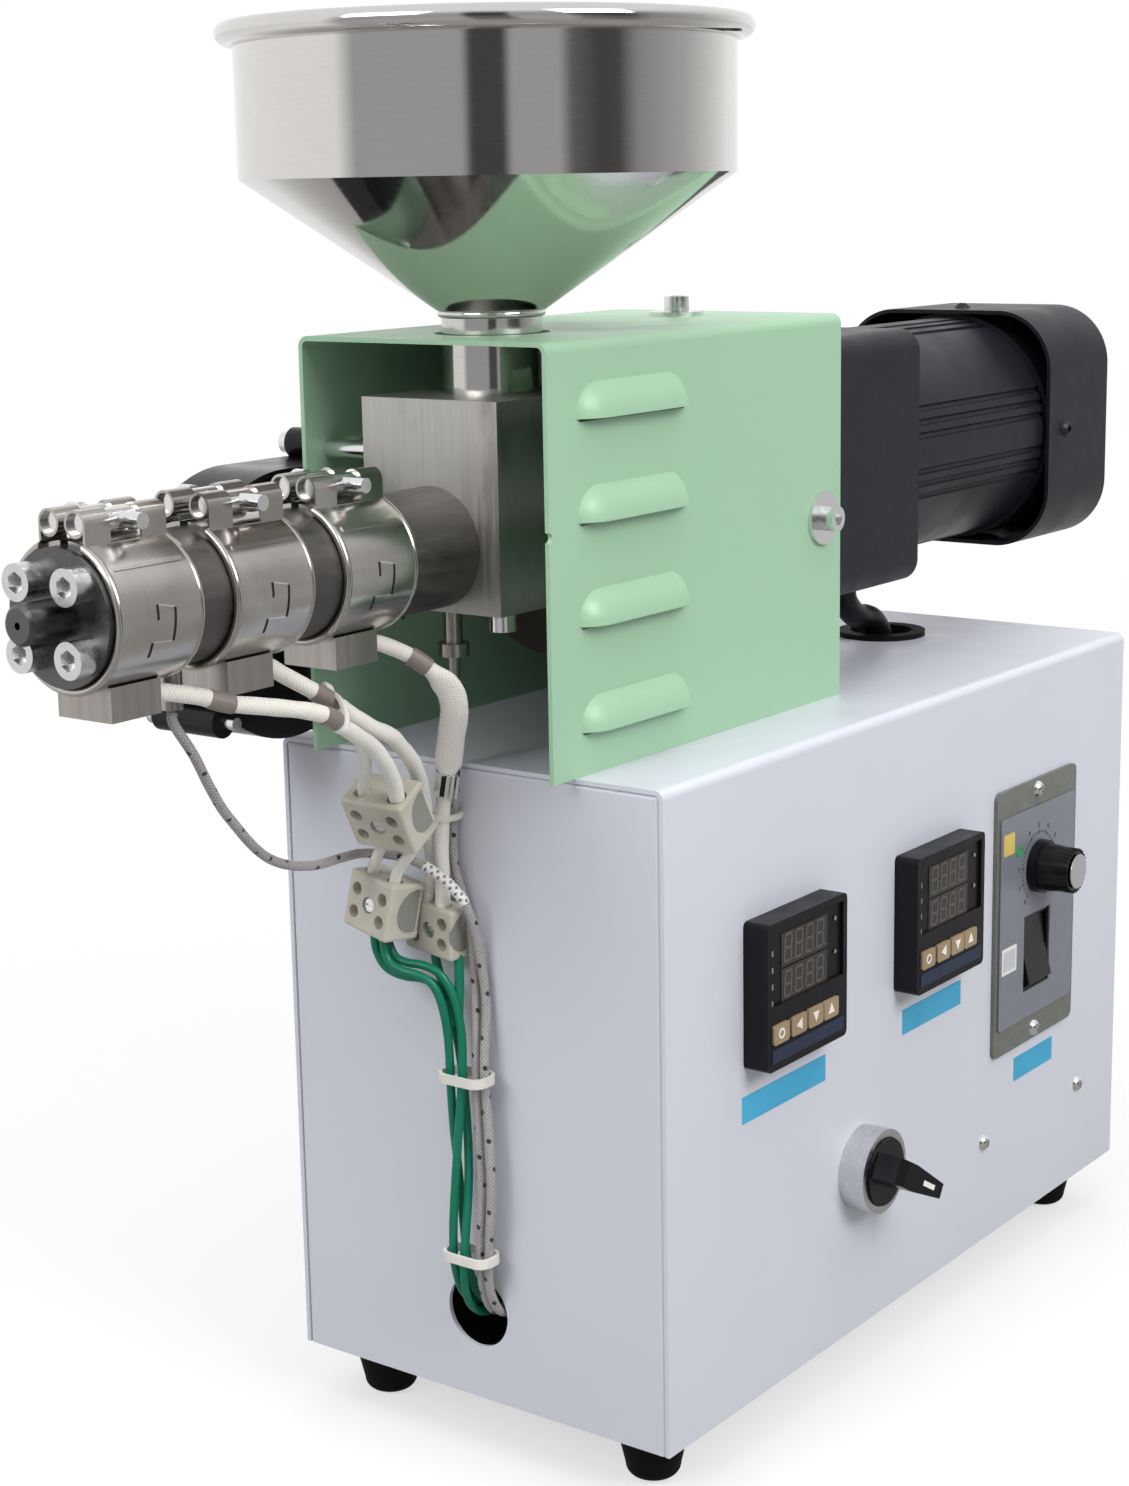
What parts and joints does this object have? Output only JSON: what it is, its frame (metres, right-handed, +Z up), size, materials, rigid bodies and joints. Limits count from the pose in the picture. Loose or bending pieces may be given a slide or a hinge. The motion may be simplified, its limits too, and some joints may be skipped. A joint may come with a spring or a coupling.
{
  "type": "filament extruder",
  "caption": "Bench filament extruder: sheet cabinet with controllers, heated barrel and die, steel hopper, louvred hood, cooling blower and gear motor.",
  "frame": {"origin": "on the floor, at the centre of the machine's outer box", "axes": "+X from the die to the motor's fan cover, -Y towards the control side, +Z up"},
  "size_m": [0.538, 0.184, 0.4536],
  "materials": {
    "cabinet_paint": "satin powder coat",
    "hood_paint": "satin green enamel",
    "zinc_sheet": "zinc plated sheet",
    "black_rubber": "matte",
    "black_plastic": "fine texture",
    "gloss_black": "smooth",
    "ground_steel": "ground",
    "dark_steel": "oil blackened",
    "brown_steel": "painted dark brown",
    "black_screw": "black oxide",
    "bright_strap": "bright rolled steel",
    "box_steel": "pressed sheet",
    "chrome": "polished",
    "motor_paint": "navy enamel",
    "aluminium": "satin turned",
    "stainless": "spun stainless steel",
    "shaft_steel": "turned",
    "button_tan": "matte",
    "rocker_grey": "smooth",
    "glass_sleeve": "woven glass fibre sleeve",
    "braid_grey": "braided sleeve",
    "wire_green": "wire insulation",
    "ceramic": "unglazed ceramic",
    "tie_white": "nylon"
  },
  "bodies": {
    "frame": {"cabinet_shell": "cabinet_paint", "cabinet_front_panel": "cabinet_paint", "cabinet_rear_panel": "cabinet_paint", "cabinet_base": "zinc_sheet", "rubber_feet": "black_rubber", "roof_grommet": "black_rubber", "power_inlet": "black_plastic", "panel_screws": "chrome", "mounting_plate": "ground_steel", "drive_screws": "black_screw", "bearing_housing": "brown_steel", "screw_bearings": "shaft_steel", "feed_block": "ground_steel", "barrel": "dark_steel", "die_head": "dark_steel", "die_screws": "black_screw", "band_heater_front": "bright_strap", "band_heater_middle": "bright_strap", "band_heater_rear": "bright_strap", "heater_terminal_boxes": "box_steel", "heater_clamps": "chrome", "hood": "hood_paint", "frame_screws": "chrome", "thermocouple_fittings": "box_steel", "blower_case": "gloss_black", "gearhead": "motor_paint", "motor_body": "motor_paint", "motor_fan_cover": "motor_paint", "temp_controller_1": "black_plastic", "temp_controller_2": "black_plastic", "speed_controller": "aluminium", "switch_housing": "gloss_black", "selector_bezel": "aluminium", "heater_lead_front": "glass_sleeve", "heater_lead_middle": "glass_sleeve", "heater_lead_rear": "glass_sleeve", "barrel_sensor_lead": "braid_grey", "feed_sensor_lead": "braid_grey", "control_wires": "wire_green", "motor_lead": "black_plastic", "terminal_blocks": "ceramic", "cable_ties": "tie_white"},
    "motor_rotor_group": {"motor_rotor": "shaft_steel", "rotor_fan": "black_plastic"},
    "screw_group": {"extruder_screw": "shaft_steel", "shaft_coupling": "dark_steel", "output_shaft": "shaft_steel"},
    "blower_wheel": {"blower_impeller": "black_plastic"},
    "speed_knob_body": {"speed_knob": "gloss_black"},
    "run_rocker": {"run_switch": "rocker_grey"},
    "selector_lever": {"selector_knob": "gloss_black"},
    "hopper_body": {"hopper": "stainless"},
    "set_button_1_body": {"set_button_1": "button_tan"},
    "left_button_1_body": {"left_button_1": "button_tan"},
    "down_button_1_body": {"down_button_1": "button_tan"},
    "up_button_1_body": {"up_button_1": "button_tan"},
    "set_button_2_body": {"set_button_2": "button_tan"},
    "left_button_2_body": {"left_button_2": "button_tan"},
    "down_button_2_body": {"down_button_2": "button_tan"},
    "up_button_2_body": {"up_button_2": "button_tan"}
  },
  "joints": [
    {"name": "motor_spin", "type": "hinge", "parent": "frame", "child": "motor_rotor_group", "pos_m": [0, 0.011, 0.3075], "axis": [1, 0, 0], "continuous": true},
    {"name": "screw_spin", "type": "hinge", "parent": "frame", "child": "screw_group", "pos_m": [0, 0.011, 0.2985], "axis": [1, 0, 0], "continuous": true},
    {"name": "blower_spin", "type": "hinge", "parent": "frame", "child": "blower_wheel", "pos_m": [-0.117, 0.0715, 0.279], "axis": [0, 1, 0], "continuous": true},
    {"name": "speed_knob_turn", "type": "hinge", "parent": "frame", "child": "speed_knob_body", "pos_m": [0.1446, -0.078, 0.155], "axis": [0, 1, 0], "range_deg": [0, 280]},
    {"name": "run_switch_rock", "type": "hinge", "parent": "frame", "child": "run_rocker", "pos_m": [0.1446, -0.066, 0.123], "axis": [1, 0, 0], "range_deg": [0, 20]},
    {"name": "selector_turn", "type": "hinge", "parent": "frame", "child": "selector_lever", "pos_m": [0.0188, -0.078, 0.0775], "axis": [0, -1, 0], "range_deg": [0, 90]},
    {"name": "hopper_lift", "type": "slide", "parent": "frame", "child": "hopper_body", "axis": [0, 0, 1], "range_m": [0, 0.06]},
    {"name": "set_button_1_press", "type": "slide", "parent": "frame", "child": "set_button_1_body", "axis": [0, 1, 0], "range_m": [0, 0.0005], "stiffness_N_per_m": 400},
    {"name": "left_button_1_press", "type": "slide", "parent": "frame", "child": "left_button_1_body", "axis": [0, 1, 0], "range_m": [0, 0.0005], "stiffness_N_per_m": 400},
    {"name": "down_button_1_press", "type": "slide", "parent": "frame", "child": "down_button_1_body", "axis": [0, 1, 0], "range_m": [0, 0.0005], "stiffness_N_per_m": 400},
    {"name": "up_button_1_press", "type": "slide", "parent": "frame", "child": "up_button_1_body", "axis": [0, 1, 0], "range_m": [0, 0.0005], "stiffness_N_per_m": 400},
    {"name": "set_button_2_press", "type": "slide", "parent": "frame", "child": "set_button_2_body", "axis": [0, 1, 0], "range_m": [0, 0.0005], "stiffness_N_per_m": 400},
    {"name": "left_button_2_press", "type": "slide", "parent": "frame", "child": "left_button_2_body", "axis": [0, 1, 0], "range_m": [0, 0.0005], "stiffness_N_per_m": 400},
    {"name": "down_button_2_press", "type": "slide", "parent": "frame", "child": "down_button_2_body", "axis": [0, 1, 0], "range_m": [0, 0.0005], "stiffness_N_per_m": 400},
    {"name": "up_button_2_press", "type": "slide", "parent": "frame", "child": "up_button_2_body", "axis": [0, 1, 0], "range_m": [0, 0.0005], "stiffness_N_per_m": 400}
  ],
  "couplings": [
    {"joint": "screw_spin", "follows": "motor_spin", "ratio": -0.033333}
  ]
}
